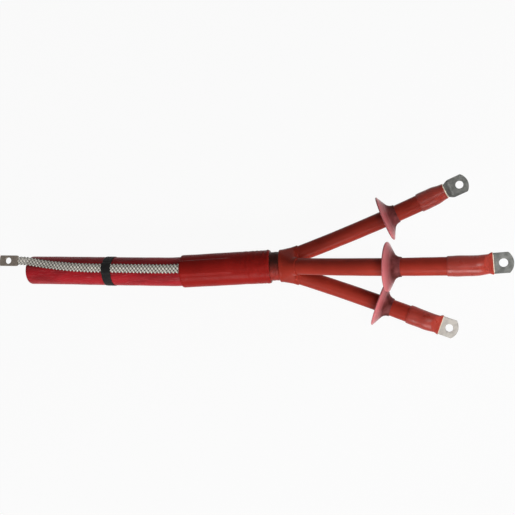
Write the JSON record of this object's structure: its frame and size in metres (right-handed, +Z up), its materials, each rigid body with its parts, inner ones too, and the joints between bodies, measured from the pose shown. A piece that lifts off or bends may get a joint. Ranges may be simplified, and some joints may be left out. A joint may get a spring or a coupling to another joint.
{
  "type": "cable termination",
  "caption": "Outdoor power cable termination: a cut cable with an earth braid, a sealing sleeve and breakout boot, and splayed cores with rain sheds and bolt-on lugs.",
  "frame": {"origin": "on the sealing sleeve's axis, at the middle of its plain stretch where a cleat holds it", "axes": "+X along the sleeve towards the lugs, +Z up as the part lies, with the front core on top, +Y towards the upper core"},
  "size_m": [0.9156, 0.2775, 0.1707],
  "materials": {
    "sheath_red": "extruded, slightly glossy, scuffed",
    "shrunk_red": "shrunk polyolefin, glossy",
    "shed_pink": "moulded, slightly translucent",
    "filler_grey": "extruded bedding",
    "mastic": "soft mastic, dull",
    "tinned_braid": "tinned copper braid",
    "tinned_palm": "tinned copper, dull",
    "tinned_lug": "tinned, satin",
    "black_tape": "wrapped tape",
    "spring_steel": "bright",
    "copper": "copper, drawn",
    "insulation_white": "extruded insulation",
    "screen_black": "semiconducting layer",
    "stress_black": "stress control tube",
    "sealant_cream": "hot-melt sealant"
  },
  "bodies": {
    "root": {"outer_sheath": "sheath_red", "bedding": "filler_grey", "breakout_boot": "shrunk_red", "neck_wrap": "mastic", "sealing_sleeve": "shrunk_red", "earth_braid": "tinned_braid", "earth_palm": "tinned_palm", "binding_tape": "black_tape", "roll_spring": "spring_steel", "conductor_upper": "copper", "insulation_upper": "insulation_white", "core_screen_upper": "screen_black", "copper_tape_upper": "copper", "stress_tube_upper": "stress_black", "track_tube_upper": "shrunk_red", "rain_shed_upper": "shed_pink", "cable_lug_upper": "tinned_lug", "lug_sealant_upper": "sealant_cream", "lug_sleeve_upper": "shrunk_red", "conductor_front": "copper", "insulation_front": "insulation_white", "core_screen_front": "screen_black", "copper_tape_front": "copper", "stress_tube_front": "stress_black", "track_tube_front": "shrunk_red", "rain_shed_front": "shed_pink", "cable_lug_front": "tinned_lug", "lug_sealant_front": "sealant_cream", "lug_sleeve_front": "shrunk_red", "conductor_lower": "copper", "insulation_lower": "insulation_white", "core_screen_lower": "screen_black", "copper_tape_lower": "copper", "stress_tube_lower": "stress_black", "track_tube_lower": "shrunk_red", "rain_shed_lower": "shed_pink", "cable_lug_lower": "tinned_lug", "lug_sealant_lower": "sealant_cream", "lug_sleeve_lower": "shrunk_red"}
  },
  "joints": []
}
